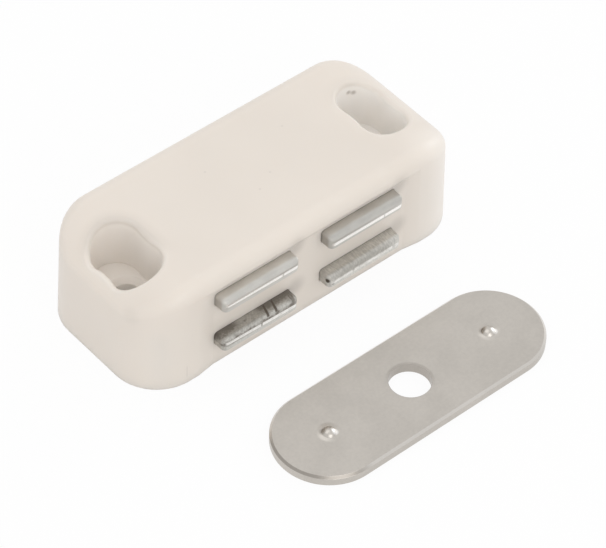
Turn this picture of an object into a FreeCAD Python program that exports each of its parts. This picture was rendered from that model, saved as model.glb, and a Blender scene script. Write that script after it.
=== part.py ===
import FreeCAD, Part
import math
import os
import Sketcher

# Double magnetic cupboard catch: a moulded housing for two floating magnet packs, and a steel strike plate.
# X runs along the catch, -Y is the front that the strike plate meets, Z is up from the mounting face.

SIZES = {
    # Housing shell
    "housing_length": 50.0,
    "housing_depth": 21.5,
    "housing_height": 14.9,
    "plan_corner_radius": 6.2,
    "end_draft": 2.4,
    "side_draft": 0.3,
    "shoulder_start": 7.4,
    "shoulder_radius": 8.0,
    "shoulder_sweep": 80.0,
    "top_rounding": 2.0,
    "wall_thickness": 1.6,
    "top_thickness": 1.9,
    "rib_thickness": 1.1,
    "inside_shift": -0.9,
    # Shallow front recess round the pole plates
    "recess_depth": 0.35,
    "recess_end_distance": 10.0,
    "recess_side_ramp": 2.4,
    "recess_top_ramp": 0.8,
    "recess_headroom": 0.3,
    # Screw wells
    "well_end_distance": 6.0,
    "well_setback": -0.3,
    "well_lobe_radius": 3.05,
    "well_lobe_spacing": 3.95,
    "well_waist_radius": 10.0,
    "well_floor": 7.6,
    "well_rim_rounding": 0.45,
    "well_wall": 1.35,
    "screw_hole_diameter": 3.6,
    "screw_seat_diameter": 5.0,
    "screw_seat_angle": 90.0,
    "core_length": 4.4,
    "core_corner_radius": 0.7,
    "core_ceiling": 8.5,
    # Magnet packs
    "middle_gap": 3.4,
    "plate_thickness": 2.0,
    "plate_protrusion": 1.85,
    "plate_edge_rounding": 0.4,
    "tongue_corner_radius": 0.7,
    "shoulder_overhang": 0.5,
    "plate_seat_length": 12.9,
    "plate_heel_radius": 0.8,
    "lower_plate_base": 3.3,
    "ceiling_gap": 1.05,
    "magnet_side_inset": 0.45,
    "magnet_end_inset": 0.75,
    "magnet_chamfer": 0.3,
    # Running clearances
    "float_stop_gap": 0.6,
    "slot_clearance": 0.07,
    "chamber_clearance": 0.2,
    "seat_clearance": 0.2,
    # Snap fingers and locating ribs
    "finger_width": 5.0,
    "finger_thickness": 1.0,
    "finger_tip": 1.2,
    "hook_reach": 1.6,
    "hook_nose": 0.4,
    "guide_rib_width": 1.0,
    "guide_rib_offset": 3.4,
    "guide_rib_length": 11.5,
    # Strike plate
    "strike_length": 39.2,
    "strike_width": 13.7,
    "strike_thickness": 1.3,
    "strike_edge_bevel": 0.3,
    "strike_hole_diameter": 5.2,
    "dimple_offset": 12.6,
    "dimple_radius": 0.9,
    "dimple_rise": 0.45,
    "dent_radius": 0.6,
    "strike_x": 0.7,
    "strike_distance": 8.8,
}

# Lengths worked out from the sizes
WELL_PITCH = "(Sizes.housing_length - 2 * Sizes.well_end_distance)"
CHAMBER_WIDTH = f"({WELL_PITCH} / 2 - Sizes.well_lobe_radius - Sizes.well_wall - Sizes.middle_gap / 2)"
PACK_PITCH = f"({CHAMBER_WIDTH} + Sizes.middle_gap)"
SEAT_WIDTH = f"({CHAMBER_WIDTH} - 2 * Sizes.chamber_clearance)"
TONGUE_WIDTH = f"({SEAT_WIDTH} - 2 * Sizes.shoulder_overhang)"
SLOT_WIDTH = f"({TONGUE_WIDTH} + 2 * Sizes.slot_clearance)"
WALL_FACE = "(Sizes.housing_depth / 2 - Sizes.recess_depth)"
INNER_FACE = f"({WALL_FACE} - Sizes.wall_thickness)"
PLATE_TIP = f"({WALL_FACE} + Sizes.plate_protrusion)"
PLATE_SHOULDER = f"({INNER_FACE} - Sizes.float_stop_gap)"
PLATE_HEEL = f"(Sizes.plate_seat_length - {PLATE_SHOULDER})"
FINGER_FACE = f"({PLATE_HEEL} + Sizes.float_stop_gap)"
CEILING = "(Sizes.housing_height - Sizes.top_thickness)"
PLATE_TOP = f"({CEILING} - Sizes.ceiling_gap)"
UPPER_PLATE_BASE = f"({PLATE_TOP} - Sizes.plate_thickness)"
LOWER_PLATE_TOP = "(Sizes.lower_plate_base + Sizes.plate_thickness)"
LEFT_PACK_X = f"(Sizes.inside_shift - {PACK_PITCH} / 2)"
RIGHT_PACK_X = f"(Sizes.inside_shift + {PACK_PITCH} / 2)"
LEFT_WELL_X = f"(Sizes.inside_shift - {WELL_PITCH} / 2)"
SHOULDER_X = "(Sizes.housing_length / 2 - Sizes.shoulder_start)"
SHOULDER_Z = "(Sizes.housing_height - Sizes.shoulder_radius)"
STRIKE_Y = f"-({PLATE_TIP} + Sizes.strike_distance + Sizes.strike_width / 2)"
# How far a cut starts outside the solid that it cuts
OVERRUN = "0.5"
# Closeness at which two places count as the same
TOUCH = 0.01
# Upward share of a face's normal: below the first the face is a wall, above the second it looks up
STEEP = 0.2
SLOPING = 0.35
# Share of a normal along one axis above which a face looks along that axis
FACING = 0.9

doc = FreeCAD.newDocument("cupboard_catch")
sheet = doc.addObject("Spreadsheet::Sheet", "Sizes")
for row, (alias, size) in enumerate(SIZES.items(), start=1):
    sheet.set(f"A{row}", alias)
    sheet.set(f"B{row}", str(size))
    sheet.setAlias(f"B{row}", alias)
doc.recompute()


def value(formula):
    """The number that a formula of the sheet's sizes gives."""
    result = sheet.evalExpression(formula)
    return float(getattr(result, "Value", result))


def new_body(label):
    """A body whose label names its file."""
    body = doc.addObject("PartDesign::Body", label)
    body.Label = label
    return body


def origin_plane(body, role):
    """One of the body's own origin planes."""
    return next(feature for feature in body.Origin.OriginFeatures if feature.Role == role)


def new_sketch(body, name, role, offset="0"):
    """A sketch on one of the body's origin planes, moved along the plane's normal."""
    sketch = body.newObject("Sketcher::SketchObject", name)
    sketch.AttachmentSupport = (origin_plane(body, role), [""])
    sketch.MapMode = "FlatFace"
    sketch.setExpression("AttachmentOffset.Base.z", f"({offset}) * 1 mm")
    doc.recompute()
    return sketch


def bind(sketch, kind, *references, formula):
    """A dimension whose value follows a formula of the sheet."""
    index = sketch.addConstraint(Sketcher.Constraint(kind, *references, value(formula)))
    unit = "deg" if kind == "Angle" else "mm"
    sketch.setExpression(f"Constraints[{index}]", f"({formula}) * 1 {unit}")


def pin(sketch, geometry, vertex, x, y):
    """Hold one vertex at a place given by two formulas."""
    bind(sketch, "DistanceX", -1, 1, geometry, vertex, formula=x)
    bind(sketch, "DistanceY", -1, 1, geometry, vertex, formula=y)


def point(x, y):
    return FreeCAD.Vector(value(x), value(y), 0)


def polygon(sketch, corners):
    """A closed outline through corners given as pairs of formulas."""
    count = len(corners)
    first = sketch.GeometryCount
    for index, corner in enumerate(corners):
        following = corners[(index + 1) % count]
        sketch.addGeometry(Part.LineSegment(point(*corner), point(*following)))
    for index in range(count):
        following = first + (index + 1) % count
        sketch.addConstraint(Sketcher.Constraint("Coincident", first + index, 2, following, 1))
    for index, corner in enumerate(corners):
        pin(sketch, first + index, 1, *corner)


def rectangle(sketch, left, right, bottom, top):
    """A closed outline with square corners."""
    polygon(sketch, [(left, bottom), (right, bottom), (right, top), (left, top)])


def rounded_rectangle(sketch, left, right, bottom, top, radius):
    """A rectangle with four equal tangent corner arcs."""
    first = sketch.GeometryCount
    inner_left = f"({left}) + ({radius})"
    inner_right = f"({right}) - ({radius})"
    inner_bottom = f"({bottom}) + ({radius})"
    inner_top = f"({top}) - ({radius})"
    sides = [
        ((inner_left, bottom), (inner_right, bottom)),
        ((right, inner_bottom), (right, inner_top)),
        ((inner_right, top), (inner_left, top)),
        ((left, inner_top), (left, inner_bottom)),
    ]
    centres = [(inner_right, inner_bottom), (inner_right, inner_top),
               (inner_left, inner_top), (inner_left, inner_bottom)]
    for index, (side, centre) in enumerate(zip(sides, centres)):
        sketch.addGeometry(Part.LineSegment(point(*side[0]), point(*side[1])))
        circle = Part.Circle(point(*centre), FreeCAD.Vector(0, 0, 1), value(radius))
        sketch.addGeometry(Part.ArcOfCircle(circle, (index - 1) * math.pi / 2, index * math.pi / 2))
    lines = [first + 2 * index for index in range(4)]
    arcs = [line + 1 for line in lines]
    for index, (line, arc) in enumerate(zip(lines, arcs)):
        sketch.addConstraint(Sketcher.Constraint("Tangent", line, 2, arc, 1))
        sketch.addConstraint(Sketcher.Constraint("Tangent", arc, 2, lines[(index + 1) % 4], 1))
        sketch.addConstraint(Sketcher.Constraint("Vertical" if index % 2 else "Horizontal", line))
    for arc in arcs[1:]:
        sketch.addConstraint(Sketcher.Constraint("Equal", arcs[0], arc))
    bind(sketch, "Radius", arcs[0], formula=radius)
    for line, direction, place in zip(lines, ("DistanceY", "DistanceX") * 2, (bottom, right, top, left)):
        bind(sketch, direction, -1, 1, line, 1, formula=place)


def stadium(sketch, length, width):
    """A strip with round ends, centred on the sketch."""
    radius = f"({width}) / 2"
    reach = f"({length}) / 2 - {radius}"
    sketch.addGeometry(Part.LineSegment(point(f"-({reach})", f"-{radius}"), point(reach, f"-{radius}")))
    sketch.addGeometry(Part.LineSegment(point(reach, radius), point(f"-({reach})", radius)))
    for x, start in ((reach, -math.pi / 2), (f"-({reach})", math.pi / 2)):
        circle = Part.Circle(point(x, "0"), FreeCAD.Vector(0, 0, 1), value(radius))
        sketch.addGeometry(Part.ArcOfCircle(circle, start, start + math.pi))
    for end, beginning in (((0, 2), (2, 1)), ((2, 2), (1, 1)), ((1, 2), (3, 1)), ((3, 2), (0, 1))):
        sketch.addConstraint(Sketcher.Constraint("Tangent", *end, *beginning))
    sketch.addConstraint(Sketcher.Constraint("Horizontal", 0))
    sketch.addConstraint(Sketcher.Constraint("Horizontal", 1))
    bind(sketch, "Radius", 2, formula=radius)
    pin(sketch, 2, 3, reach, "0")
    bind(sketch, "DistanceX", -1, 1, 3, 3, formula=f"-({reach})")


def two_lobes(sketch, x, y, spacing, radius, waist):
    """Two equal lobes in line along Y, joined by two wide arcs that draw in at the waist."""
    rear = f"({y}) + ({spacing}) / 2"
    front = f"({y}) - ({spacing}) / 2"
    lean = math.asin(value(spacing) / 2 / (value(radius) + value(waist)))
    aside = f"sqrt((({radius}) + ({waist})) ^ 2 - (({spacing}) / 2) ^ 2)"
    arcs = [((x, rear), radius, -lean, math.pi + lean),
            ((f"({x}) - {aside}", y), waist, -lean, lean),
            ((x, front), radius, math.pi - lean, 2 * math.pi + lean),
            ((f"({x}) + {aside}", y), waist, math.pi - lean, math.pi + lean)]
    for centre, size, start, stop in arcs:
        circle = Part.Circle(point(*centre), FreeCAD.Vector(0, 0, 1), value(size))
        sketch.addGeometry(Part.ArcOfCircle(circle, start, stop))
    for lobe_end, waist_end in (((0, 2), (1, 2)), ((2, 1), (1, 1)), ((2, 2), (3, 2)), ((0, 1), (3, 1))):
        sketch.addConstraint(Sketcher.Constraint("Tangent", *lobe_end, *waist_end))
    sketch.addConstraint(Sketcher.Constraint("Equal", 0, 2))
    sketch.addConstraint(Sketcher.Constraint("Equal", 1, 3))
    bind(sketch, "Radius", 0, formula=radius)
    bind(sketch, "Radius", 1, formula=waist)
    pin(sketch, 0, 3, x, rear)
    pin(sketch, 2, 3, x, front)


def circle_at(sketch, x, y, radius):
    """A circle held at its centre."""
    index = sketch.addGeometry(Part.Circle(point(x, y), FreeCAD.Vector(0, 0, 1), value(radius)))
    bind(sketch, "Radius", index, formula=radius)
    pin(sketch, index, 3, x, y)


def dome_section(sketch, radius, rise, base, depth):
    """Half the section of a round cap that rises from a level, with a plug of some depth below it."""
    ball = f"(({radius}) * ({radius}) + ({rise}) * ({rise})) / (2 * ({rise}))"
    centre = f"({base}) + ({rise}) - {ball}"
    foot = f"({base}) - ({depth})"
    start = math.acos(value(radius) / value(ball))
    circle = Part.Circle(point("0", centre), FreeCAD.Vector(0, 0, 1), value(ball))
    sketch.addGeometry(Part.ArcOfCircle(circle, start, math.pi / 2))
    corners = [("0", f"({base}) + ({rise})"), ("0", foot), (radius, foot), (radius, base)]
    for corner, following in zip(corners, corners[1:]):
        sketch.addGeometry(Part.LineSegment(point(*corner), point(*following)))
    for index in range(4):
        sketch.addConstraint(Sketcher.Constraint("Coincident", index, 2, (index + 1) % 4, 1))
    sketch.addConstraint(Sketcher.Constraint("Vertical", 1))
    sketch.addConstraint(Sketcher.Constraint("Horizontal", 2))
    sketch.addConstraint(Sketcher.Constraint("Vertical", 3))
    sketch.addConstraint(Sketcher.Constraint("PointOnObject", 0, 3, -2))
    sketch.addConstraint(Sketcher.Constraint("PointOnObject", 1, 1, -2))
    bind(sketch, "DistanceY", -1, 1, 0, 3, formula=centre)
    bind(sketch, "Radius", 0, formula=ball)
    bind(sketch, "DistanceY", -1, 1, 2, 1, formula=foot)
    bind(sketch, "DistanceX", -1, 1, 0, 1, formula=radius)


def volume(body):
    """The body's volume, or nothing before its first feature."""
    return body.Shape.Volume if body.Tip else 0


def check_volume(body, name, before, grows):
    """Stop if a feature left the body's volume alone or changed it the wrong way."""
    change = volume(body) - before
    if (change if grows else -change) <= 0:
        raise RuntimeError(f"{name} changes the volume by {change:.3f}")


def grow(body, name, sketch, length, both_ways=False):
    """A pad of the sketch along its normal, or half of it to each side."""
    before = volume(body)
    pad = body.newObject("PartDesign::Pad", name)
    pad.Profile = sketch
    pad.setExpression("Length", f"({length}) * 1 mm")
    pad.Midplane = both_ways
    doc.recompute()
    check_volume(body, name, before, True)
    return pad


def cut(body, name, sketch, length, upwards=False):
    """A pocket of the sketch, into the side away from its normal unless upwards."""
    before = volume(body)
    pocket = body.newObject("PartDesign::Pocket", name)
    pocket.Profile = sketch
    pocket.setExpression("Length", f"({length}) * 1 mm")
    pocket.Reversed = upwards
    doc.recompute()
    check_volume(body, name, before, False)
    return pocket


def loft_cut(body, name, first, last):
    """A ruled cut from one outline to another."""
    before = volume(body)
    loft = body.newObject("PartDesign::SubtractiveLoft", name)
    loft.Profile = first
    loft.Sections = [last]
    loft.Ruled = True
    doc.recompute()
    check_volume(body, name, before, False)
    return loft


def turn(body, kind, name, sketch):
    """A revolution or groove of the sketch about its own upright axis."""
    before = volume(body)
    feature = body.newObject(f"PartDesign::{kind}", name)
    feature.Profile = sketch
    feature.ReferenceAxis = (sketch, ["V_Axis"])
    feature.Angle = 360
    doc.recompute()
    check_volume(body, name, before, kind == "Revolution")
    return feature


def repeat_along_x(body, name, features, pitch):
    """A second copy of the features, one pitch further along X."""
    pattern = body.newObject("PartDesign::LinearPattern", name)
    pattern.Originals = features
    pattern.Direction = (origin_plane(body, "X_Axis"), [""])
    pattern.setExpression("Length", f"({pitch}) * 1 mm")
    pattern.Occurrences = 2
    body.Tip = pattern
    doc.recompute()
    return pattern


def upness(face):
    """How far a face looks up at the middle of its surface, from -1 to 1."""
    u_start, u_end, v_start, v_end = face.ParameterRange
    return face.normalAt((u_start + u_end) / 2, (v_start + v_end) / 2).z


def lean_inwards(body, name, chosen, angle):
    """Lean the chosen walls inwards as they rise; they keep their place in the mounting plane."""
    before = volume(body)
    base = body.Tip
    names = [f"Face{index}" for index, face in enumerate(base.Shape.Faces, start=1) if chosen(face)]
    feature = body.newObject("PartDesign::Draft", name)
    feature.Base = (base, names)
    feature.NeutralPlane = (origin_plane(body, "XY_Plane"), [""])
    feature.setExpression("Angle", f"({angle}) * 1 deg")
    # The first recompute settles the walls' names, the second leans them
    doc.recompute()
    feature.touch()
    doc.recompute()
    check_volume(body, name, before, False)
    return feature


def round_edges(body, name, chosen, radius, chamfer=False):
    """A fillet or chamfer on the edges that the chosen function picks from the edge and its faces."""
    base = body.Tip
    shape = base.Shape
    names = []
    for index, edge in enumerate(shape.Edges, start=1):
        if chosen(edge, shape.ancestorsOfType(edge, Part.Face)):
            names.append(f"Edge{index}")
    kind, size = ("Chamfer", "Size") if chamfer else ("Fillet", "Radius")
    feature = body.newObject(f"PartDesign::{kind}", name)
    feature.Base = (base, names)
    feature.setExpression(size, f"({radius}) * 1 mm")
    doc.recompute()
    return feature


def is_upright(edge):
    """True for an edge that runs mostly along Z."""
    box = edge.BoundBox
    return box.ZLength > 2 * max(box.XLength, box.YLength)


def build_block(body):
    """The outer form with drafted walls and round corners, before its top is shaped."""
    profile = new_sketch(body, "end_slopes", "XZ_Plane")
    half_length = "Sizes.housing_length / 2"
    top_reach = f"({half_length} - Sizes.housing_height * tan(Sizes.end_draft * 1 deg))"
    polygon(profile, [(f"-{half_length}", "0"), (half_length, "0"), (top_reach, "Sizes.housing_height"),
                      (f"-{top_reach}", "Sizes.housing_height")])
    grow(body, "block", profile, "Sizes.housing_depth", both_ways=True)
    lean_inwards(body, "side_slopes", lambda face: abs(face.normalAt(0, 0).y) > FACING, "Sizes.side_draft")
    round_edges(body, "plan_corners", lambda edge, faces: is_upright(edge), "Sizes.plan_corner_radius")


def build_shoulders(body):
    """The sloping shoulders at both ends, and the rounded rim round the top."""
    side = new_sketch(body, "shoulder_outline", "XZ_Plane")
    outer = f"{SHOULDER_X} + Sizes.shoulder_radius * sin(Sizes.shoulder_sweep * 1 deg)"
    low = f"{SHOULDER_Z} + Sizes.shoulder_radius * cos(Sizes.shoulder_sweep * 1 deg)"
    above = f"Sizes.housing_height + {OVERRUN}"
    start = math.radians(90 - value("Sizes.shoulder_sweep"))
    radius = value("Sizes.shoulder_radius")
    circle = Part.Circle(point(SHOULDER_X, SHOULDER_Z), FreeCAD.Vector(0, 0, 1), radius)
    side.addGeometry(Part.ArcOfCircle(circle, start, math.pi / 2))
    side.addGeometry(Part.LineSegment(point(SHOULDER_X, "Sizes.housing_height"), point(SHOULDER_X, above)))
    side.addGeometry(Part.LineSegment(point(SHOULDER_X, above), point(outer, above)))
    side.addGeometry(Part.LineSegment(point(outer, above), point(outer, low)))
    for end, beginning in (((0, 2), (1, 1)), ((1, 2), (2, 1)), ((2, 2), (3, 1)), ((3, 2), (0, 1))):
        side.addConstraint(Sketcher.Constraint("Coincident", *end, *beginning))
    side.addConstraint(Sketcher.Constraint("Vertical", 1))
    side.addConstraint(Sketcher.Constraint("Horizontal", 2))
    side.addConstraint(Sketcher.Constraint("Vertical", 3))
    pin(side, 0, 3, SHOULDER_X, SHOULDER_Z)
    bind(side, "Radius", 0, formula="Sizes.shoulder_radius")
    bind(side, "DistanceX", -1, 1, 1, 1, formula=SHOULDER_X)
    bind(side, "DistanceX", -1, 1, 3, 1, formula=outer)
    bind(side, "DistanceY", -1, 1, 2, 1, formula=above)
    shoulder = body.newObject("PartDesign::Pocket", "right_shoulder")
    shoulder.Profile = side
    shoulder.Midplane = True
    shoulder.setExpression("Length", f"(Sizes.housing_depth + {OVERRUN}) * 1 mm")
    doc.recompute()
    mirrored = body.newObject("PartDesign::Mirrored", "left_shoulder")
    mirrored.Originals = [shoulder]
    mirrored.MirrorPlane = (origin_plane(body, "YZ_Plane"), [""])
    body.Tip = mirrored
    doc.recompute()

    def on_top_rim(edge, faces):
        slopes = sorted(upness(face) for face in faces)
        return edge.BoundBox.ZMin > TOUCH and slopes[0] < STEEP and slopes[-1] > SLOPING

    round_edges(body, "top_rounding", on_top_rim, "Sizes.top_rounding")


def build_front_recess(body):
    """The shallow recess round the pole plates, with sloped sides and an open lower edge."""
    sections = []
    for name, depth, ramps in (("recess_floor", f"{WALL_FACE}", 0),
                               ("recess_mouth", f"{WALL_FACE} + 2 * Sizes.recess_depth", 2)):
        sketch = new_sketch(body, name, "XZ_Plane", depth)
        reach = f"(Sizes.housing_length / 2 - Sizes.recess_end_distance + {ramps} * Sizes.recess_side_ramp)"
        top = f"{PLATE_TOP} + Sizes.recess_headroom + {ramps} * Sizes.recess_top_ramp"
        rectangle(sketch, f"-{reach}", reach, f"-{OVERRUN}", top)
        sections.append(sketch)
    loft_cut(body, "front_recess", *sections)


def build_pack_chambers(body):
    """Chambers for the two magnet packs, with their slots, guide ribs and snap fingers."""
    left = f"{LEFT_PACK_X} - {CHAMBER_WIDTH} / 2"
    right = f"{LEFT_PACK_X} + {CHAMBER_WIDTH} / 2"
    rear = "Sizes.housing_depth / 2 - Sizes.wall_thickness"
    plan = new_sketch(body, "chamber_outline", "XY_Plane")
    rectangle(plan, left, right, f"-{INNER_FACE}", rear)
    chamber = cut(body, "chamber", plan, CEILING, upwards=True)

    front = new_sketch(body, "slot_outlines", "XZ_Plane", f"Sizes.housing_depth / 2 + {OVERRUN}")
    for base in ("Sizes.lower_plate_base", UPPER_PLATE_BASE):
        rounded_rectangle(front, f"{LEFT_PACK_X} - {SLOT_WIDTH} / 2", f"{LEFT_PACK_X} + {SLOT_WIDTH} / 2",
                          f"{base} - Sizes.slot_clearance",
                          f"{base} + Sizes.plate_thickness + Sizes.slot_clearance",
                          "Sizes.plate_edge_rounding + Sizes.slot_clearance")
    through_wall = f"Sizes.recess_depth + Sizes.wall_thickness + 2 * {OVERRUN}"
    slots = cut(body, "slots", front, through_wall)

    ribs = new_sketch(body, "guide_rib_outlines", "XY_Plane", f"{PLATE_TOP} + Sizes.seat_clearance")
    for side in ("-", "+"):
        middle = f"{LEFT_PACK_X} {side} Sizes.guide_rib_offset"
        rectangle(ribs, f"{middle} - Sizes.guide_rib_width / 2", f"{middle} + Sizes.guide_rib_width / 2",
                  f"-{INNER_FACE}", f"Sizes.guide_rib_length - {INNER_FACE}")
    rib_height = f"{CEILING} + {OVERRUN} - {PLATE_TOP} - Sizes.seat_clearance"
    guides = grow(body, "guide_ribs", ribs, rib_height)

    profile = new_sketch(body, "snap_finger_outline", "YZ_Plane", LEFT_PACK_X)
    hook_top = "Sizes.lower_plate_base - Sizes.seat_clearance"
    back = f"{FINGER_FACE} + Sizes.finger_thickness"
    nose = f"{FINGER_FACE} - Sizes.hook_reach"
    root = f"{CEILING} + {OVERRUN}"
    polygon(profile, [(FINGER_FACE, root), (FINGER_FACE, hook_top), (nose, hook_top),
                      (nose, f"{hook_top} - Sizes.hook_nose"), (FINGER_FACE, "Sizes.finger_tip"),
                      (back, "Sizes.finger_tip"), (back, root)])
    finger = grow(body, "snap_finger", profile, "Sizes.finger_width", both_ways=True)
    repeat_along_x(body, "both_chambers", [chamber, slots, guides, finger], PACK_PITCH)

    middle = new_sketch(body, "middle_core_outline", "XY_Plane")
    rectangle(middle, f"{right} + Sizes.rib_thickness", f"{left} + {PACK_PITCH} - Sizes.rib_thickness",
              f"-{INNER_FACE}", rear)
    cut(body, "middle_core", middle, CEILING, upwards=True)


def build_screw_wells(body):
    """Deep two-lobed screw wells with countersunk holes, and the cores beside them."""
    outline = new_sketch(body, "well_outline", "XY_Plane", "Sizes.well_floor")
    two_lobes(outline, LEFT_WELL_X, "Sizes.well_setback", "Sizes.well_lobe_spacing",
              "Sizes.well_lobe_radius", "Sizes.well_waist_radius")
    well = cut(body, "screw_well", outline, f"Sizes.housing_height + {OVERRUN} - Sizes.well_floor", upwards=True)

    cores = new_sketch(body, "core_outlines", "XY_Plane")
    well_reach = "(Sizes.well_lobe_spacing / 2 + Sizes.well_lobe_radius + Sizes.rib_thickness)"
    shell_reach = "(Sizes.housing_depth / 2 - Sizes.wall_thickness)"
    left = f"{LEFT_WELL_X} - Sizes.core_length / 2"
    right = f"{LEFT_WELL_X} + Sizes.core_length / 2"
    rounded_rectangle(cores, left, right, f"-{shell_reach}", f"Sizes.well_setback - {well_reach}",
                      "Sizes.core_corner_radius")
    rounded_rectangle(cores, left, right, f"Sizes.well_setback + {well_reach}", shell_reach,
                      "Sizes.core_corner_radius")
    core_pockets = cut(body, "ear_cores", cores, "Sizes.core_ceiling", upwards=True)

    seat = new_sketch(body, "screw_hole_centre", "XY_Plane", "Sizes.well_floor")
    circle_at(seat, LEFT_WELL_X, "Sizes.well_setback", "Sizes.screw_hole_diameter / 2")
    hole = body.newObject("PartDesign::Hole", "screw_hole")
    hole.Profile = seat
    doc.recompute()
    hole.DepthType = "ThroughAll"
    hole.HoleCutType = "Countersink"
    hole.HoleCutCustomValues = True
    hole.setExpression("Diameter", "Sizes.screw_hole_diameter * 1 mm")
    hole.setExpression("HoleCutDiameter", "Sizes.screw_seat_diameter * 1 mm")
    hole.setExpression("HoleCutCountersinkAngle", "Sizes.screw_seat_angle * 1 deg")
    doc.recompute()
    repeat_along_x(body, "both_wells", [well, core_pockets, hole], WELL_PITCH)

    def on_rim(edge, faces):
        box = edge.BoundBox
        slopes = sorted(upness(face) for face in faces)
        beside = abs(abs(box.Center.x - value("Sizes.inside_shift")) - value(f"{WELL_PITCH} / 2"))
        behind = abs(box.Center.y - value("Sizes.well_setback"))
        in_well = beside < value("Sizes.well_lobe_radius") and behind < value(well_reach)
        above_floor = box.ZMin > value("Sizes.well_floor") + TOUCH
        return in_well and above_floor and slopes[0] < STEEP and slopes[-1] > SLOPING

    round_edges(body, "rim_rounding", on_rim, "Sizes.well_rim_rounding")


def build_housing():
    """The one moulding that holds the packs and takes the two screws."""
    body = new_body("housing")
    build_block(body)
    build_shoulders(body)
    build_front_recess(body)
    build_pack_chambers(body)
    build_screw_wells(body)
    return body


def build_pole_plate(label, x, base):
    """A steel pole plate: a tongue that passes its slot, and a wider seat that cannot."""
    body = new_body(label)
    outline = new_sketch(body, label + "_outline", "XY_Plane")
    tongue = f"{TONGUE_WIDTH} / 2"
    seat = f"{SEAT_WIDTH} / 2"
    tip = f"-{PLATE_TIP}"
    polygon(outline, [(f"-{tongue}", tip), (tongue, tip), (tongue, f"-{PLATE_SHOULDER}"),
                      (seat, f"-{PLATE_SHOULDER}"), (seat, PLATE_HEEL), (f"-{seat}", PLATE_HEEL),
                      (f"-{seat}", f"-{PLATE_SHOULDER}"), (f"-{tongue}", f"-{PLATE_SHOULDER}")])
    grow(body, label + "_blank", outline, "Sizes.plate_thickness")
    tip_y = value(tip)
    heel_y = value(PLATE_HEEL)
    shoulder_y = -value(PLATE_SHOULDER)
    round_edges(body, label + "_front_corners",
                lambda edge, faces: is_upright(edge) and abs(edge.BoundBox.Center.y - tip_y) < TOUCH,
                "Sizes.tongue_corner_radius")
    round_edges(body, label + "_heel_corners",
                lambda edge, faces: is_upright(edge) and abs(edge.BoundBox.Center.y - heel_y) < TOUCH,
                "Sizes.plate_heel_radius")
    round_edges(body, label + "_front_edges",
                lambda edge, faces: edge.BoundBox.ZLength < TOUCH and edge.BoundBox.YMax < shoulder_y + TOUCH
                and edge.BoundBox.YMin < shoulder_y - TOUCH, "Sizes.plate_edge_rounding")
    body.setExpression("Placement.Base.x", f"({x}) * 1 mm")
    body.setExpression("Placement.Base.z", f"({base}) * 1 mm")
    return body


def build_magnet(label, x):
    """The ferrite block clamped by its own pull between two pole plates."""
    body = new_body(label)
    outline = new_sketch(body, label + "_outline", "XY_Plane")
    half_width = f"({SEAT_WIDTH} / 2 - Sizes.magnet_side_inset)"
    rectangle(outline, f"-{half_width}", half_width,
              f"Sizes.magnet_end_inset - {PLATE_SHOULDER}", f"{PLATE_HEEL} - Sizes.magnet_end_inset")
    grow(body, label + "_block", outline, f"{UPPER_PLATE_BASE} - {LOWER_PLATE_TOP}")
    round_edges(body, label + "_chamfers", lambda edge, faces: edge.BoundBox.ZLength > TOUCH,
                "Sizes.magnet_chamfer", chamfer=True)
    body.setExpression("Placement.Base.x", f"({x}) * 1 mm")
    body.setExpression("Placement.Base.z", f"{LOWER_PLATE_TOP} * 1 mm")
    return body


def build_strike_plate():
    """The steel strip that the door carries, with a screw hole and two pressed dimples."""
    body = new_body("strike_plate")
    outline = new_sketch(body, "strike_outline", "XY_Plane")
    stadium(outline, "Sizes.strike_length", "Sizes.strike_width")
    circle_at(outline, "0", "0", "Sizes.strike_hole_diameter / 2")
    grow(body, "strike_blank", outline, "Sizes.strike_thickness")
    top = value("Sizes.strike_thickness")
    round_edges(body, "pressed_edges",
                lambda edge, faces: edge.BoundBox.ZMin > top - TOUCH and not edge.isClosed(),
                "Sizes.strike_edge_bevel", chamfer=True)
    bump = new_sketch(body, "dimple_section", "YZ_Plane", "Sizes.dimple_offset")
    dome_section(bump, "Sizes.dimple_radius", "Sizes.dimple_rise", "Sizes.strike_thickness",
                 "Sizes.strike_thickness / 2")
    dimple = turn(body, "Revolution", "dimple", bump)
    hollow = new_sketch(body, "dent_section", "YZ_Plane", "Sizes.dimple_offset")
    polygon(hollow, [("0", "Sizes.dimple_rise"), ("0", f"-{OVERRUN}"),
                     ("Sizes.dent_radius", f"-{OVERRUN}"), ("Sizes.dent_radius", "0")])
    dent = turn(body, "Groove", "dent", hollow)
    both = body.newObject("PartDesign::Mirrored", "both_dimples")
    both.Originals = [dimple, dent]
    both.MirrorPlane = (origin_plane(body, "YZ_Plane"), [""])
    body.Tip = both
    doc.recompute()
    body.setExpression("Placement.Base.x", "Sizes.strike_x * 1 mm")
    body.setExpression("Placement.Base.y", f"{STRIKE_Y} * 1 mm")
    return body


def export(bodies):
    """Check every object of the document, then write each body to its file."""
    doc.recompute()
    for item in doc.Objects:
        if "Invalid" in item.State or "Error" in item.State:
            raise RuntimeError(f"{item.Name} failed: {item.State}")
    for body in bodies:
        if body.Shape.isNull() or not body.Shape.isValid():
            raise RuntimeError(f"{body.Label} has no valid shape")
    os.makedirs("parts", exist_ok=True)
    for body in bodies:
        body.Shape.exportStep(f"parts/{body.Label}.step")


pieces = [build_housing()]
for side, x in (("left", LEFT_PACK_X), ("right", RIGHT_PACK_X)):
    pieces.append(build_pole_plate(f"{side}_lower_pole_plate", x, "Sizes.lower_plate_base"))
    pieces.append(build_pole_plate(f"{side}_upper_pole_plate", x, UPPER_PLATE_BASE))
    pieces.append(build_magnet(f"{side}_magnet", x))
pieces.append(build_strike_plate())
export(pieces)
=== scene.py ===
"""Finishes, light and camera for a double magnetic cupboard catch with its strike plate."""
import math
from functools import reduce

import bpy
from bpy.props import FloatProperty, FloatVectorProperty, PointerProperty
from mathutils import Matrix, Vector


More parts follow.
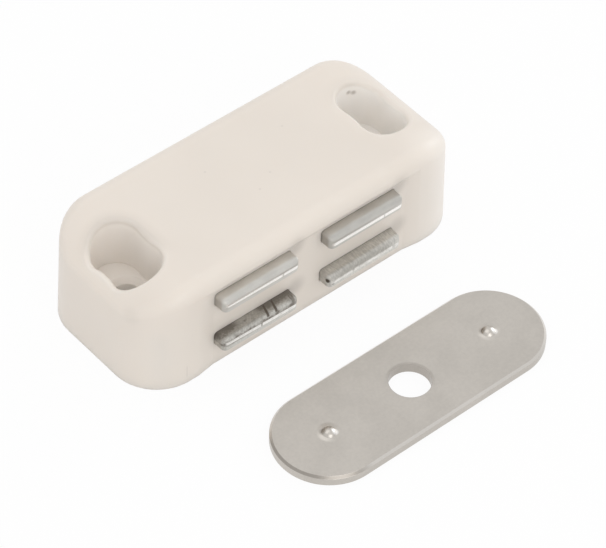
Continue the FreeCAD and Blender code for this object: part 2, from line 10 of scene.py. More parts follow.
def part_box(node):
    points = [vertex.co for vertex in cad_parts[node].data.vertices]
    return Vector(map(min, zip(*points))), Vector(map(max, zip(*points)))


bl_info = {
    "name": "Magnetic cupboard catch",
    "version": (1, 0, 0),
    "blender": (4, 5, 0),
    "location": "3D View > Sidebar > Catch",
    "description": "Dresses a magnetic cupboard catch and its strike plate",
    "category": "Object",
}

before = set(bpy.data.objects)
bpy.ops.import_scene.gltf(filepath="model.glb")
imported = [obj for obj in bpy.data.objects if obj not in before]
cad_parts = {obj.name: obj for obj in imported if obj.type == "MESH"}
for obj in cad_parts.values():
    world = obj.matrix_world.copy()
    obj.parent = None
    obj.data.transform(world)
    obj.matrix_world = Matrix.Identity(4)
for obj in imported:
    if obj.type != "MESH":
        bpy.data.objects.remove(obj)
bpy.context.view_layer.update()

# Millimetres in a metre: finishes are written in millimetres, the frame is in metres
MM = 1000.0

# The camera: width of the photo and focal length in pixels, width of the sensor in millimetres, and
# the distance in metres nearer than which it shows nothing
IMAGE_WIDTH = 606
FOCAL_PIXELS = 3304.7
SENSOR_WIDTH = 36.0
CLIP_START = 0.01

# Place and width of each lamp, in metres. All of them aim at the origin
LAMPS = {
    "overhead": ((-0.10, 0.20, 0.62), 0.6),
    "front": ((-0.15, -0.52, 0.40), 0.5),
    "right": ((0.62, 0.03, 0.27), 0.30),
}

# The floor's width and how far it lies under the catch, so that two faces never coincide, in metres
FLOOR_WIDTH = 4.0
FLOOR_DROP = 0.00005
FLOOR_COLOUR = (0.9, 0.9, 0.9, 1.0)
WHITE = (1.0, 1.0, 1.0, 1.0)

# From here on, every place and length is in millimetres
HOUSING_LOW, HOUSING_HIGH = (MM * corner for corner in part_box("housing"))
# Depth of the front recess. The pole plates come out through the wall at its bottom
RECESS = 0.35
WALL_Y = HOUSING_LOW.y + RECESS
# The curve of the housing's shoulders, and where along X it starts
SHOULDER_X = 17.6
SHOULDER_RADIUS = 8.0
# The screw wells: their middles, the round of their ends and half their straight length
WELL_LEFT = -19.9
WELL_RIGHT = 18.1
WELL_Y = -0.3
WELL_RADIUS = 3.05
WELL_STRAIGHT = 1.975
# Specks in the housing's top, by X and Y, and the two that touch inside the right well
FAINT_SPECKS = ((7.38, 3.93), (1.20, -1.17), (-4.84, 3.66), (-1.56, -2.61))
WELL_SPECKS = ((18.72, 4.64, 13.19), (19.36, 4.44, 12.96))
# Painted shade on the wall beside the plates' right ends, grey wear on the left corner, and an upright
# smear low on the front
PLATE_SHADE_SPOTS = ((13.6, -10.4, 12.1), (-2.5, -10.4, 12.1), (-2.4, -10.4, 5.0), (13.8, -10.4, 5.0))
CORNER_SMUDGE = (-24.1, -6.3, 11.2)
SMEAR_X = -19.18
SMEAR_Z = 1.9

# How much further a pole plate reaches inside the housing, at each side, than the tongue that shows
TONGUE_INSET = 0.5
# The sheared edge, as depths below the plate's top: where it is torn, rougher and painted lighter as a
# reflection of the floor, and its foot, painted in shade
TORN_EDGE = (1.25, 1.45)
FOOT_EDGE = (1.72, 1.92)
# The rolled edge: how far it reaches, and the height it loses for each square millimetre
ROLL_REACH = 0.8
ROLL_LOSS = 0.45
# A dot on the lower left plate, and two specks on the left corner of the lower right one
LEFT_DOT = (-10.75, -11.06, 5.3)
RIGHT_SPECK = (1.55, -11.82, 4.55)
RIGHT_LOW_SPECK = (2.1, -12.25, 4.0)

# The strike plate: its middle, the round of its ends and how far from the middle that starts
STRIKE_LOW, STRIKE_HIGH = (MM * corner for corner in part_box("strike_plate"))
STRIKE_MIDDLE = (STRIKE_LOW + STRIKE_HIGH) / 2
STRIKE_RADIUS = (STRIKE_HIGH.y - STRIKE_LOW.y) / 2
STRIKE_REACH = (STRIKE_HIGH.x - STRIKE_LOW.x) / 2 - STRIKE_RADIUS
# Height of its flat top, radius of its hole, and where its two dimples stand along X
STRIKE_TOP = 1.3
HOLE_RADIUS = 2.6
DIMPLES = (-11.9, 13.3)


class Signal:
    """The value of one socket. Arithmetic on it adds Math nodes."""

    def __init__(self, wiring, socket):
        self.wiring = wiring
        self.socket = socket

    def maths(self, operation, *others):
        return self.wiring.node("ShaderNodeMath", {"operation": operation}, [self, *others])

    def __add__(self, other):
        return self.maths("ADD", other)

    def __sub__(self, other):
        return self.maths("SUBTRACT", other)

    def __rsub__(self, other):
        return self.wiring.node("ShaderNodeMath", {"operation": "SUBTRACT"}, [other, self])

    def __mul__(self, other):
        return self.maths("MULTIPLY", other)

    __radd__ = __add__
    __rmul__ = __mul__

    def size(self):
        return self.maths("ABSOLUTE")

    def root(self):
        return self.maths("SQRT")

    def most(self, other):
        return self.maths("MAXIMUM", other)

    def past(self, limit):
        """How far the value lies beyond a limit, on either side of zero, and 0 within it."""
        return (self.size() - limit).most(0.0)


def total(signals):
    """The sum of several values."""
    return reduce(Signal.__add__, signals)


def highest(signals):
    """The highest of several values at each point."""
    return reduce(Signal.most, signals)


def span(across, beside):
    """The length of a line from its two offsets at right angles."""
    return (across * across + beside * beside).root()


class Wiring:
    """The nodes of one material or world, under construction."""

    def __init__(self, owner):
        owner.use_nodes = True
        self.tree = owner.node_tree
        self.tree.nodes.clear()

    def node(self, kind, settings, inputs, output=0):
        """Add a node, set it up, fill its sockets by place or name, and give one of its outputs."""
        node = self.tree.nodes.new(kind)
        for name, setting in settings.items():
            setattr(node, name, setting)
        pairs = inputs.items() if isinstance(inputs, dict) else enumerate(inputs)
        by_identifier = {socket.identifier: socket for socket in node.inputs}
        for key, given in pairs:
            socket = node.inputs[key] if isinstance(key, int) else by_identifier[key]
            if isinstance(given, Signal):
                self.tree.links.new(given.socket, socket)
            else:
                socket.default_value = given
        if not node.outputs:
            return None
        by_name = {socket.identifier: socket for socket in node.outputs}
        return Signal(self, by_name[output] if isinstance(output, str) else node.outputs[output])

    def rays(self, *kinds):
        """A mask of 1 where light is followed for any of these kinds of ray."""
        return highest([self.node("ShaderNodeLightPath", {}, {}, f"Is {kind} Ray") for kind in kinds])


class Finish(Wiring):
    """A material for one of the catch's surfaces, under construction, with places in millimetres."""

    def __init__(self, name):
        self.material = bpy.data.materials.new(name)
        super().__init__(self.material)
        metres = self.node("ShaderNodeTexCoord", {}, {}, "Object")
        sockets = {"Vector": metres, "Scale": MM}
        self.place = self.node("ShaderNodeVectorMath", {"operation": "SCALE"}, sockets)

    def axis(self, name):
        """One coordinate of the surface point."""
        return self.node("ShaderNodeSeparateXYZ", {}, {"Vector": self.place}, name)

    def stretched(self, scale):
        """The surface point scaled along each axis, for patterns with a direction."""
        return self.node("ShaderNodeMapping", {}, {"Vector": self.place, "Scale": scale})

    def noise(self, vector, scale, detail=3.0, roughness=0.5):
        """A cloudy pattern, with the scale in features for each millimetre."""
        sockets = {"Vector": vector, "Scale": scale, "Detail": detail, "Roughness": roughness}
        return self.node("ShaderNodeTexNoise", {}, sockets, "Fac")

    def band(self, signal, low, high, start=0.0, stop=1.0):
        """Map a signal smoothly from one span to another, held at both ends."""
        settings = {"interpolation_type": "SMOOTHSTEP"}
        sockets = {"Value": signal, "From Min": low, "From Max": high, "To Min": start, "To Max": stop}
        return self.node("ShaderNodeMapRange", settings, sockets, "Result")

    def strip(self, signal, middle, half, softness):
        """A mask of 1 where a signal is within half a width of the middle, falling to 0 beside it."""
        return self.band((signal - middle).size(), half, half + softness, 1.0, 0.0)

    def spot(self, centre, radius, softness):
        """A mask of 1 inside a ball, falling to 0 over the softness outside it."""
        settings = {"operation": "DISTANCE"}
        away = self.node("ShaderNodeVectorMath", settings, [self.place, tuple(centre)], "Value")
        return self.band(away, radius, radius + softness, 1.0, 0.0)

    def mix(self, factor, first, second):
        """Blend two colours."""
        settings = {"data_type": "RGBA"}
        sockets = {"Factor_Float": factor, "A_Color": first, "B_Color": second}
        return self.node("ShaderNodeMix", settings, sockets, "Result_Color")

    def bump(self, height, below=None):
        """Lean the surface by a height in millimetres."""
        sockets = {"Height": height, "Distance": 1.0 / MM, "Strength": 1.0}
        if below:
            sockets["Normal"] = below
        return self.node("ShaderNodeBump", {}, sockets, "Normal")

    def close(self, colour, roughness, normal, constants):
        """Finish with one principled shader. The constants sit on its own sockets."""
        sockets = {"Base Color": colour, "Roughness": roughness, "Normal": normal, **constants}
        shader = self.node("ShaderNodeBsdfPrincipled", {}, sockets)
        self.node("ShaderNodeOutputMaterial", {}, {"Surface": shader})
        return self.material


def opaque(colour, level=1.0):
    """A colour property, made lighter or darker, as the four numbers that a socket takes."""
    return (*(level * part for part in colour), 1.0)


def dress(names, material):
    """Give a material to every slot of the named pieces."""
    for name in names:
        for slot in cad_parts[name].material_slots:
            slot.material = material


class CatchPlastic(bpy.types.PropertyGroup):
    """Colours of the moulded housing."""

    colour: FloatVectorProperty(
        name="Colour", description="Cream white of the moulding",
        subtype="COLOR", default=(0.80, 0.735, 0.665))
    # Painted light: a paler colour painted into the screw wells, standing in for light through the thin
    # walls, and on the right end of the front
    well: FloatVectorProperty(
        name="Screw wells", description="The moulding where light comes through its thin walls",
        subtype="COLOR", default=(0.98, 0.94, 0.895))
    # Also the colour of the painted shade beside the plates and beyond the wells' far rims
    speck: FloatVectorProperty(
        name="Speck", description="Grey of the small embedded specks and of the wear",
        subtype="COLOR", default=(0.30, 0.27, 0.24))
    roughness: FloatProperty(
        name="Roughness", description="Roughness of the moulded surface",
        subtype="FACTOR", default=0.40, min=0.0, max=1.0)


class CatchSteel(bpy.types.PropertyGroup):
    """Colours of the steel plates and of the magnets."""

    bright: FloatVectorProperty(
        name="Bright", description="Clean plated steel",
        subtype="COLOR", default=(0.62, 0.605, 0.57))
    dull: FloatVectorProperty(
        name="Dull", description="Dull plated steel",
        subtype="COLOR", default=(0.68, 0.665, 0.625))
    # Painted highlight colour: the bright line on the plates' front edges, the lighter torn band, and the
    # strike plate's glints and bevel
    painted_highlight: FloatVectorProperty(
        name="Burnished", description="Shiny line that the shear leaves on a plate's edge",
        subtype="COLOR", default=(0.97, 0.95, 0.92))
    # Also the colour of painted shade: along the upper plates' wall, on the plates' foot and left end, and
    # on the strike plate's dimples, hole and left bevel
    stain_and_shade: FloatVectorProperty(
        name="Stain", description="Dark brown stains and grime",
        subtype="COLOR", default=(0.15, 0.125, 0.10))
    strike: FloatVectorProperty(
        name="Strike plate", description="Satin grey of the strike plate",
        subtype="COLOR", default=(0.60, 0.565, 0.52))
    ferrite: FloatVectorProperty(
        name="Ferrite", description="Dark grey of the fired magnets",
        subtype="COLOR", default=(0.05, 0.05, 0.055))


class CatchStage(bpy.types.PropertyGroup):
    """Camera, lamps and floor."""

    azimuth: FloatProperty(
        name="Azimuth", description="Angle of the camera round the catch",
        subtype="ANGLE", default=math.radians(-42.35))
    elevation: FloatProperty(
        name="Elevation", description="Angle of the camera above the floor",
        subtype="ANGLE", default=math.radians(46.71))
    roll: FloatProperty(
        name="Roll", description="Turn of the camera about its own line of sight",
        subtype="ANGLE", default=math.radians(2.59))
    distance: FloatProperty(
        name="Distance", description="From the camera to the point it looks at",
        subtype="DISTANCE", unit="LENGTH", default=0.40245)
    target: FloatVectorProperty(
        name="Target", description="Point that the camera looks at",
        subtype="XYZ", unit="LENGTH", default=(0.0029, -0.00594, 0.0))
    surround: FloatProperty(
        name="Surround", description="Strength of the even light from all round",
        default=0.80, min=0.0)
    overhead_power: FloatProperty(
        name="Overhead", description="Power of the large lamp overhead",
        unit="POWER", default=0.5, min=0.0)
    front_power: FloatProperty(
        name="Front", description="Power of the large lamp beside the camera",
        unit="POWER", default=0.75, min=0.0)
    right_power: FloatProperty(
        name="Right", description="Power of the low lamp at the right end",
        unit="POWER", default=0.5, min=0.0)
    floor_glow: FloatProperty(
        name="Floor glow", description="Share of plain white in the floor that the camera sees",
        subtype="FACTOR", default=0.93, min=0.0, max=1.0)


class CATCH_OT_housing(bpy.types.Operator):
    """Give the housing its satin moulded plastic"""

    bl_idname = "catch.housing"
    bl_label = "Housing"

    def specks(self, finish):
        """Small grey specks in the top, and a double one inside the right well."""
        first, second = (Vector(place) for place in WELL_SPECKS)
        double = finish.spot(first, 0.06, 0.42).most(finish.spot(second, 0.08, 0.44)) * 0.60
        bridge = finish.spot((first + second) / 2, 0.02, 0.40) * 0.40
        faint = [finish.spot((x, y, HOUSING_HIGH.z), 0.05, 0.18) * 0.14 for x, y in FAINT_SPECKS]
        return highest([double, bridge, *faint])

    def smudges_and_shade(self, finish):
        """Painted shade on the wall beside the plates' right ends, and soft grey wear on the left corner
        and low on the front.
        """
        corner = finish.spot(CORNER_SMUDGE, 0.3, 1.4) * 0.06
        # Painted shade: soft grey patches where the recess corner shades the wall beside each plate's right
        # end
        plates = [finish.spot(place, 0.3, 1.8) * 0.30 for place in PLATE_SHADE_SPOTS]
        upright = finish.strip(finish.axis("X"), SMEAR_X, 0.03, 0.10)
        low = finish.strip(finish.axis("Z"), SMEAR_Z, 0.7, 0.4)
        front = finish.band(finish.axis("Y"), -10.0, -9.0, 1.0, 0.0)
        return highest([corner, *plates, upright * low * front * 0.14])

    def wells(self, finish):
        """Masks for the painted light inside each screw well and the painted shade on the top beyond its
        far rim.
        """
        x, y, z = (finish.axis(name) for name in "XYZ")
        shoulder = x.past(SHOULDER_X)
        surface = (SHOULDER_RADIUS ** 2 - shoulder * shoulder).root() + (HOUSING_HIGH.z - SHOULDER_RADIUS)
        deep = finish.band(surface - z, 0.1, 1.0) * finish.band(z, 0.5, 1.5)
        beyond = (y - WELL_Y).past(WELL_STRAIGHT)
        light, shade = [], []
        for centre, floor_level, softness in ((WELL_LEFT, 0.55, 1.0), (WELL_RIGHT, 1.0, 0.4)):
            across = x - centre
            reach = span(across, beyond) - WELL_RADIUS
            inside = finish.band(reach, 0.02, 0.20, 1.0, 0.0)
            # Painted light inside the well, and painted shade on the top beyond its far rim
            light.append(inside * finish.band(z, 6.0, 7.4, 1.0, floor_level) * deep)
            far = finish.band(across * 0.67 + (y - WELL_Y) * 0.74, -1.0, 2.5)
            rim = finish.band(reach, 0.4, 0.9, 0.09, 0.0) + finish.band(reach, 0.3, 2.0, 0.12, 0.0)
            shade.append(rim * softness * far * (1 - deep))
        return total(light), total(shade)

    def execute(self, context):
        look = context.scene.catch_plastic
        finish = Finish("moulded_plastic")
        cloud = finish.noise(finish.place, 0.06, 2.0)
        shade = finish.mix(finish.band(cloud, 0.35, 0.65), opaque(look.colour), opaque(look.colour, 0.975))
        light, rim_shade = self.wells(finish)
        # Painted light: the right end of the front is painted a little paler than the rest, as if lit from
        # the right
        front = finish.band(finish.axis("Y"), -9.0, -5.0, 0.35, 0.0)
        pale = finish.band(finish.axis("X"), 14.0, 22.0) * front
        shade = finish.mix(light.most(pale), shade, opaque(look.well))
        # Real specks and wear, with the painted shade beside the plates and beyond the wells' far rims
        marks_and_shade = highest([self.specks(finish), self.smudges_and_shade(finish), rim_shade])
        shade = finish.mix(marks_and_shade, shade, opaque(look.speck))
        grain = finish.noise(finish.place, 2.6, 2.0)
        ripple = finish.noise(finish.place, 0.30, 2.0)
        roughness = look.roughness + (ripple - 0.5) * 0.12
        normal = finish.bump(grain * 0.004 + ripple * 0.012)
        body = {"Subsurface Weight": 0.4, "Subsurface Scale": 0.002, "Subsurface Radius": (1.0, 0.97, 0.94)}
        dress(["housing"], finish.close(shade, roughness, normal, body))
        return {"FINISHED"}


class PlateFinish(Finish):
    """Sheared and plated steel for one pole plate, with places along it, out of the wall and down."""

    def __init__(self, piece):
        super().__init__(f"{piece}_steel")
        self.piece = piece
        low, high = (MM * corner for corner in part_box(piece))
        left_x = low.x + TONGUE_INSET
        length = high.x - low.x - 2 * TONGUE_INSET
        self.front_y = low.y
        self.along = (self.axis("X") - left_x) * (1 / length)
        self.out = (WALL_Y - self.axis("Y")) * (1 / (WALL_Y - low.y))
        self.down = high.z - self.axis("Z")
        # About 0 on top at the wall, and about 1 at the painted highlight line on the front edge
        self.over = self.out * 0.70 + self.down * 0.28

    def bar(self, along, lean, width, softness):
        """A mask for a mark across the plate, at a place along it, leaning as it comes forward."""
        return self.strip(self.along + self.out * lean, along, width, softness)

    def roll_over(self):
        """A height that rounds the top front edge more widely than the solid does."""
        rising = (ROLL_REACH - self.down).most(0.0)
        coming = (self.front_y + ROLL_REACH - self.axis("Y")).most(0.0)
        return (rising * rising + coming * coming) * -ROLL_LOSS

    def edge_highlight(self, depth, slope, breaks):
        """The painted highlight line along the front edge, with gaps where it is nicked."""
        front = self.band(self.axis("Y"), self.front_y + 0.12, self.front_y + 0.40, 1.0, 0.0)
        ends = self.strip(self.along, 0.5, 0.455, 0.03)
        line = self.strip(self.down - self.along * slope, depth, 0.18, 0.12) * front * ends
        for place, width in breaks:
            line = line * (1 - self.strip(self.along, place, width, 0.006) * 0.8)
        return line

    def coat(self, look, colour, stain_and_shade, line, dullness):
        """Join the sheet's colour, its stains and painted shade, its painted highlight line and lighter
        torn band, and dress the plate.
        """
        rolled = self.noise(self.stretched((0.12, 1.0, 1.0)), 2.2, 3.0)
        edge = self.band(self.out, 0.9, 0.97)
        torn_and_sheen = self.band(self.down, *TORN_EDGE) * edge
        foot_shade = self.band(self.down, *FOOT_EDGE) * edge
        shaded_left_end = self.band(self.along, 0.0, 0.05, 1.0, 0.0)
        # Painted reflection makes the torn band lighter; painted shade darkens the foot and the left end
        shade = self.mix(torn_and_sheen * 0.3, colour, opaque(look.painted_highlight))
        shade = self.mix(foot_shade * 0.22 + shaded_left_end * 0.20, shade, opaque(look.stain_and_shade, 1.5))
        shade = self.mix(stain_and_shade, shade, opaque(look.stain_and_shade))
        # Painted highlight: the bright line along the front edge
        shade = self.mix(line, shade, opaque(look.painted_highlight))
        wear = rolled * 0.14 + stain_and_shade * 0.25 + torn_and_sheen * 0.25 + shaded_left_end * 0.2
        roughness = (wear + dullness) * (1 - line * 0.5)
        normal = self.bump(rolled * 0.003, self.bump(self.roll_over()))
        dress([self.piece], self.close(shade, roughness, normal, {"Metallic": 1.0}))


class CATCH_OT_pole_plates(bpy.types.Operator):
    """Give the pole plates their plated steel, clean above and stained below"""

    bl_idname = "catch.pole_plates"
    bl_label = "Pole plates"

    def clean(self, look, piece, level, depth, slope, breaks):
        """A bright upper plate, with a breath of painted shade on its top along the wall."""
        finish = PlateFinish(piece)
        cloud = finish.band(finish.noise(finish.stretched((0.4, 1.0, 1.0)), 1.1, 3.0), 0.35, 0.65)
        shade = finish.mix(cloud, opaque(look.bright, level), opaque(look.bright, 0.92 * level))
        # Painted shade: the top is a little darker along the wall
        wall_shade = finish.band(finish.out, -0.02, 0.22, 0.05, 0.0)
        finish.coat(look, shade, wall_shade, finish.edge_highlight(depth, slope, breaks), 0.30)

    def stained_left(self, look, piece):
        """The lower left plate, with brown stains along the wall and marks across it."""
        finish = PlateFinish(piece)
        along, over = finish.along, finish.over
        ragged = finish.noise(finish.place, 1.5, 4.0, 0.65)
        wander = (ragged - 0.5) * 0.7
        gap = finish.strip(along, 0.40, 0.08, 0.12)
        brown = finish.band(over + wander, 0.20, 0.62, 1.0, 0.0) * (1 - gap * 0.7) * 0.72
        film = finish.band(ragged, 0.30, 0.70) * 0.40
        bars = highest([finish.bar(place, 0.05, 0.007, 0.020) for place in (0.64, 0.75)])
        bars = bars * finish.strip(over, 0.38, 0.32, 0.10) * 0.9
        joining = finish.strip(over, 0.30, 0.04, 0.08) * finish.strip(along, 0.685, 0.05, 0.03) * 0.5
        crease = finish.strip(along + over * 0.06 + wander * 0.07, 0.975, 0.008, 0.014)
        second = finish.strip(along + over * 0.03 - wander * 0.07, 0.935, 0.006, 0.012)
        creases = crease.most(second) * 0.65
        front = finish.band(over + wander * 0.5, 0.62, 0.85) * finish.band(ragged, 0.35, 0.65, 0.30, 0.75)
        dot = finish.spot(LEFT_DOT, 0.05, 0.25) * 0.6
        clear = finish.strip(along, 0.80, 0.03, 0.05) * finish.strip(over, 0.65, 0.12, 0.15)
        stain_and_shade = highest([brown, bars, joining, creases, front, dot, film]) * (1 - clear * 0.6)
        stain_and_shade = stain_and_shade * finish.band(finish.down, 0.9, 1.2, 1.0, 0.0)
        mottle = finish.band(finish.noise(finish.place, 4.5, 3.0), 0.35, 0.65)
        shade = finish.mix(mottle, opaque(look.dull), opaque(look.dull, 0.84))
        # Painted highlight along the front edge, broken up
        line = finish.edge_highlight(0.62, 0.45, [(0.50, 0.008)]) * finish.band(ragged, 0.30, 0.55, 0.45, 0.85)
        finish.coat(look, shade, stain_and_shade, line, 0.42)

    def stained_right(self, look, piece):
        """The lower right plate, dull and finely streaked, with dark specks on its left corner."""
        finish = PlateFinish(piece)
        along, over = finish.along, finish.over
        streaks = finish.noise(finish.stretched((1.0, 0.22, 0.4)), 5.5, 3.0, 0.65)
        streaks = finish.band(streaks, 0.32, 0.68)
        shade = finish.mix(streaks, opaque(look.dull, 1.09), opaque(look.dull, 0.83))
        ragged = finish.noise(finish.place, 1.5, 4.0, 0.65)
        near_wall = finish.band(over + (ragged - 0.5) * 0.5, 0.0, 0.40, 0.14, 0.0)
        middle = finish.band(over, 0.45, 0.75) * finish.strip(along, 0.45, 0.30, 0.2) * 0.30
        middle = middle * finish.band(finish.down, 0.9, 1.1, 1.0, 0.0)
        speck = finish.spot(RIGHT_SPECK, 0.19, 0.22) * 0.95
        low_speck = finish.spot(RIGHT_LOW_SPECK, 0.06, 0.18) * 0.5
        # Painted highlight along the front edge, with nicks, broken up
        line = finish.edge_highlight(1.02, 0.06, [(0.335, 0.012), (0.89, 0.01)])
        line = line * finish.band(ragged, 0.35, 0.6, 0.2, 0.6)
        finish.coat(look, shade, highest([near_wall, middle, speck, low_speck]), line, 0.42)

    def execute(self, context):
        look = context.scene.catch_steel
        self.clean(look, "left_upper_pole_plate", 1.10, 0.76, 0.30, [(0.77, 0.006)])
        self.clean(look, "right_upper_pole_plate", 0.98, 1.10, 0.12, [(0.73, 0.004)])
        self.stained_left(look, "left_lower_pole_plate")
        self.stained_right(look, "right_lower_pole_plate")
        return {"FINISHED"}


class CATCH_OT_magnets(bpy.types.Operator):
    """Give the magnets their dark fired ferrite"""

    bl_idname = "catch.magnets"
    bl_label = "Magnets"

    def execute(self, context):
        look = context.scene.catch_steel
        finish = Finish("fired_ferrite")
        grain = finish.noise(finish.place, 3.0, 4.0, 0.7)
        shade = finish.mix(grain, opaque(look.ferrite), opaque(look.ferrite, 2.2))
        material = finish.close(shade, grain * 0.2 + 0.55, finish.bump(grain * 0.02), {"Metallic": 0.0})
        dress(["left_magnet", "right_magnet"], material)
        return {"FINISHED"}


class CATCH_OT_strike_plate(bpy.types.Operator):
    """Give the strike plate its satin mottled steel"""

    bl_idname = "catch.strike_plate"
    bl_label = "Strike plate"

    def dimples(self, finish):
        """The painted glint and the painted shade on the dark side of each dimple, and the soft swell round
        it.
        """
        y = STRIKE_MIDDLE.y
        glint = [finish.spot((x + 0.50, y - 0.42, 1.45), 0.28, 0.32) for x in DIMPLES]
        dark = [finish.spot((x - 0.55, y + 0.46, 1.40), 0.20, 0.42) * 0.5 for x in DIMPLES]
        swell = [finish.spot((x, y, STRIKE_TOP), 0.6, 1.0) * 0.12 for x in DIMPLES]
        return highest(glint), highest(dark), total(swell)

    def execute(self, context):
        look = context.scene.catch_steel
        finish = Finish("satin_strike_steel")
        mottle = finish.noise(finish.place, 2.2, 4.0, 0.65)
        patch = finish.noise(finish.place, 0.22, 2.0)
        rolled = finish.noise(finish.stretched((0.10, 1.0, 1.0)), 3.0, 3.0)
        tone = finish.band(mottle, 0.3, 0.7) * 0.45 + finish.band(patch, 0.35, 0.65) * 0.45
        tone = tone + finish.band(rolled, 0.35, 0.65) * 0.10
        shade = finish.mix(tone, opaque(look.strike, 0.96), opaque(look.strike, 1.08))
        along = finish.axis("X") - STRIKE_MIDDLE.x
        aside = finish.axis("Y") - STRIKE_MIDDLE.y
        z = finish.axis("Z")
        rim = span(along.past(STRIKE_REACH), aside)
        from_hole = span(along, aside)
        # Painted highlight on the bevel away from the left end, and painted shade on the left end's bevel;
        # the sides are a little darker
        bevel = finish.band(rim, STRIKE_RADIUS - 0.32, STRIKE_RADIUS - 0.26) * finish.band(z, 0.98, 1.04)
        side = finish.band(rim, STRIKE_RADIUS - 0.05, STRIKE_RADIUS - 0.02)
        side = side * finish.band(z, 0.96, 1.0, 1.0, 0.0)
        shaded_left_end = finish.band(finish.axis("X") + aside * 0.5, -17.0, -14.0, 1.0, 0.0)
        # Painted shade on the hole's wall and in a ring beside the hole on its far side
        bore = finish.band(from_hole, HOLE_RADIUS + 0.01, HOLE_RADIUS + 0.05, 1.0, 0.0)
        far = finish.band(along + aside, -1.0, 2.0)
        ring = finish.strip(from_hole, HOLE_RADIUS + 0.12, 0.06, 0.30) * far
        glint, dark, swell = self.dimples(finish)
        # Painted highlight: the dimples' glints and the bevel; painted shade: the dimples' dark sides, the
        # left end's bevel, the ring and the hole's wall; the sides are a little darker
        bright = glint.most(bevel * (1 - shaded_left_end) * 0.30)
        dark = highest([dark, bevel * shaded_left_end * 0.45, ring * 0.22, bore * 0.38, side * 0.12])
        shade = finish.mix(bright, shade, opaque(look.painted_highlight))
        shade = finish.mix(dark, shade, opaque(look.stain_and_shade))
        roughness = mottle * 0.08 + 0.30
        normal = finish.bump(mottle * 0.003 + rolled * 0.001 + swell)
        dress(["strike_plate"], finish.close(shade, roughness, normal, {"Metallic": 1.0}))
        return {"FINISHED"}


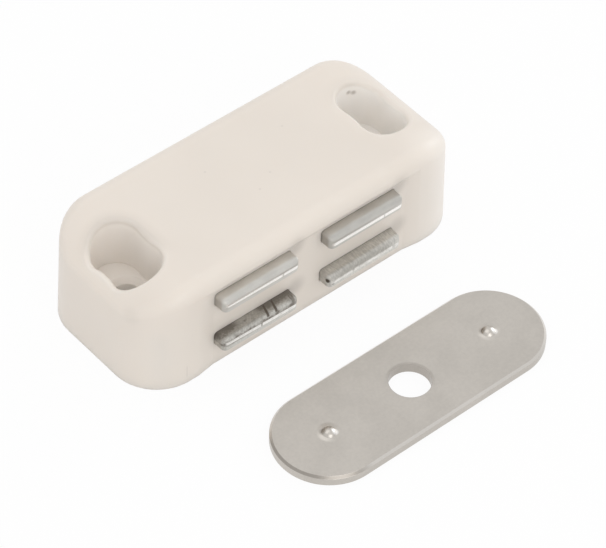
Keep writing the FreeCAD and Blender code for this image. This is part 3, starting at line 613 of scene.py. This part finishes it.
class CATCH_OT_stage(bpy.types.Operator):
    """Set up the floor, the lamps, the surround and the camera"""

    bl_idname = "catch.stage"
    bl_label = "Stage"

    def floor(self, look):
        """A pale floor that keeps the catch's shadow and is nearly white to the camera."""
        bpy.ops.mesh.primitive_plane_add(size=FLOOR_WIDTH, location=(0.0, 0.0, 0.0))
        floor = bpy.context.object
        floor.name = "floor"
        floor.data.transform(Matrix.Translation((0.0, 0.0, -FLOOR_DROP)))
        finish = Finish("pale_floor")
        seen = finish.rays("Camera", "Glossy", "Transmission")
        matt = finish.node("ShaderNodeBsdfDiffuse", {}, {"Color": FLOOR_COLOUR})
        white = finish.node("ShaderNodeEmission", {}, {"Color": WHITE, "Strength": 1.0})
        mixed = finish.node("ShaderNodeMixShader", {}, [seen * look.floor_glow, matt, white])
        finish.node("ShaderNodeOutputMaterial", {}, {"Surface": mixed})
        floor.data.materials.append(finish.material)

    def surround(self, scene, look):
        """Even light from all round, behind which the camera sees plain white."""
        scene.world = bpy.data.worlds.new("white_surround")
        wiring = Wiring(scene.world)
        seen = wiring.rays("Camera", "Transmission")
        sockets = {"Value": seen, "To Min": look.surround, "To Max": 1.0}
        strength = wiring.node("ShaderNodeMapRange", {}, sockets)
        light = wiring.node("ShaderNodeBackground", {}, {"Color": WHITE, "Strength": strength})
        wiring.node("ShaderNodeOutputWorld", {}, {"Surface": light})

    def lamp(self, scene, name, place, width, power):
        """A round lamp that aims at the origin."""
        light = bpy.data.lights.new(name, "AREA")
        light.shape = "DISK"
        light.size = width
        light.energy = power
        lamp = bpy.data.objects.new(name, light)
        lamp.location = place
        lamp.rotation_euler = (-Vector(place)).to_track_quat("-Z", "Y").to_euler()
        scene.collection.objects.link(lamp)

    def camera(self, scene, look):
        """A camera at the photo's angle."""
        data = bpy.data.cameras.new("camera")
        data.sensor_width = SENSOR_WIDTH
        data.lens = FOCAL_PIXELS * SENSOR_WIDTH / IMAGE_WIDTH
        data.clip_start = CLIP_START
        flat = math.cos(look.elevation)
        round_x, round_y = math.sin(look.azimuth) * flat, -math.cos(look.azimuth) * flat
        back = Vector((round_x, round_y, math.sin(look.elevation)))
        level = (-back).cross(Vector((0.0, 0.0, 1.0))).normalized()
        upright = level.cross(-back)
        right = math.cos(look.roll) * level + math.sin(look.roll) * upright
        up = math.cos(look.roll) * upright - math.sin(look.roll) * level
        turn = Matrix((right, up, back)).transposed().to_4x4()
        camera = bpy.data.objects.new("camera", data)
        camera.matrix_world = Matrix.Translation(Vector(look.target) + look.distance * back) @ turn
        scene.collection.objects.link(camera)
        scene.camera = camera

    def execute(self, context):
        scene = context.scene
        look = scene.catch_stage
        self.floor(look)
        self.surround(scene, look)
        for name, (place, width) in LAMPS.items():
            self.lamp(scene, f"{name}_lamp", place, width, getattr(look, f"{name}_power"))
        self.camera(scene, look)
        scene.view_settings.view_transform = "Standard"
        return {"FINISHED"}


class CATCH_PT_sidebar(bpy.types.Panel):
    """Lists the steps that dress the catch, and the sizes and colours they use"""

    bl_idname = "CATCH_PT_sidebar"
    bl_label = "Cupboard catch"
    bl_space_type = "VIEW_3D"
    bl_region_type = "UI"
    bl_category = "Catch"

    def draw(self, context):
        layout = self.layout
        for step in STEPS:
            layout.operator(step.bl_idname)
        for group_name in GROUPS:
            group = getattr(context.scene, group_name)
            box = layout.box()
            for name in group.bl_rna.properties.keys():
                if name not in ("rna_type", "name"):
                    box.prop(group, name)


GROUPS = {"catch_plastic": CatchPlastic, "catch_steel": CatchSteel, "catch_stage": CatchStage}
STEPS = (CATCH_OT_housing, CATCH_OT_pole_plates, CATCH_OT_magnets, CATCH_OT_strike_plate, CATCH_OT_stage)
CLASSES = (*GROUPS.values(), *STEPS, CATCH_PT_sidebar)


def register():
    for kind in CLASSES:
        bpy.utils.register_class(kind)
    for name, group in GROUPS.items():
        setattr(bpy.types.Scene, name, PointerProperty(type=group))


def unregister():
    for name in GROUPS:
        delattr(bpy.types.Scene, name)
    for kind in reversed(CLASSES):
        bpy.utils.unregister_class(kind)


def main():
    register()
    bpy.ops.catch.housing()
    bpy.ops.catch.pole_plates()
    bpy.ops.catch.magnets()
    bpy.ops.catch.strike_plate()
    bpy.ops.catch.stage()


if __name__ == "__main__":
    main()
